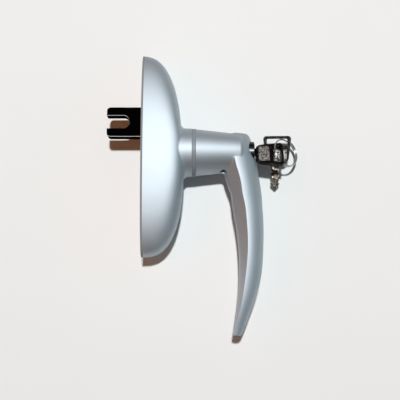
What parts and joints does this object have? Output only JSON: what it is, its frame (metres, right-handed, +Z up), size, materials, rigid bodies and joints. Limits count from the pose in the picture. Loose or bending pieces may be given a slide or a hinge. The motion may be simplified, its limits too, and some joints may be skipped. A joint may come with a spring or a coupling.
{
  "type": "lockable window handle with fork drive",
  "caption": "Silver window handle on a domed oval base, curved drop grip, lock in the head with keys on a split ring, and a black fork behind that slides when the grip is turned.",
  "frame": {"origin": "on the turning axis in the mounting plane, midway between the two fixing holes", "axes": "+X out of the sash into the room along the turning axis, +Z up the base, the grip hangs along -Z at rest, +Y to the right of someone who looks along +X's opposite at +Z up"},
  "size_m": [0.1491, 0.041, 0.2167],
  "materials": {
    "silver_paint": "fine metallic silver powder coat, satin",
    "seal_rubber": "dark grey sealing rubber",
    "zinc_steel": "zinc-plated sheet steel",
    "screw_steel": "plated screw steel",
    "grey_plastic": "mid grey moulded bearing plastic, matte",
    "black_plastic": "black sliding plastic",
    "spindle_steel": "bright drawn square steel",
    "gear_steel": "sintered steel, lightly oiled",
    "spring_steel": "blued spring steel",
    "black_steel": "black oxide set screw",
    "lock_chrome": "turned and nickel-plated lock body",
    "fork_black": "black enamel, glossy",
    "lock_brass": "turned brass",
    "key_nickel": "nickel-plated brass key, worn at its edges",
    "ring_steel": "bright spring wire"
  },
  "bodies": {
    "base": {"base_housing": "silver_paint", "gasket": "seal_rubber", "back_plate": "zinc_steel", "plate_screws": "screw_steel", "bearing_ring": "grey_plastic", "slide_guides": "black_plastic"},
    "turning_handle": {"handle": "silver_paint", "spindle": "spindle_steel", "pinion": "gear_steel", "retaining_clip": "spring_steel", "thrust_washer": "zinc_steel", "set_screw": "black_steel", "lock_barrel": "lock_chrome", "barrel_clip": "spring_steel"},
    "fork_slider": {"rack_slider": "gear_steel", "fork": "fork_black", "fork_screws": "screw_steel"},
    "lock": {"lock_plug": "lock_chrome", "lock_cam": "lock_brass", "key": "key_nickel", "spare_key": "key_nickel", "key_ring": "ring_steel"},
    "bolt": {"lock_bolt": "lock_brass"}
  },
  "joints": [
    {"name": "handle_turn", "type": "hinge", "parent": "base", "child": "turning_handle", "pos_m": [0, 0, 0], "axis": [1, 0, 0], "range_deg": [0, 180]},
    {"name": "fork_slide", "type": "slide", "parent": "base", "child": "fork_slider", "axis": [0, 0, -1], "range_m": [0, 0.0354]},
    {"name": "lock_turn", "type": "hinge", "parent": "turning_handle", "child": "lock", "pos_m": [0.0864, 0, 0], "axis": [1, 0, 0], "range_deg": [0, 90]},
    {"name": "bolt_slide", "type": "slide", "parent": "turning_handle", "child": "bolt", "axis": [-1, 0, 0], "range_m": [0, 0.0026]}
  ],
  "couplings": [
    {"joint": "fork_slide", "follows": "handle_turn", "m_per_rad": 0.01125},
    {"joint": "bolt_slide", "follows": "lock_turn", "m_per_rad": 0.001655}
  ]
}
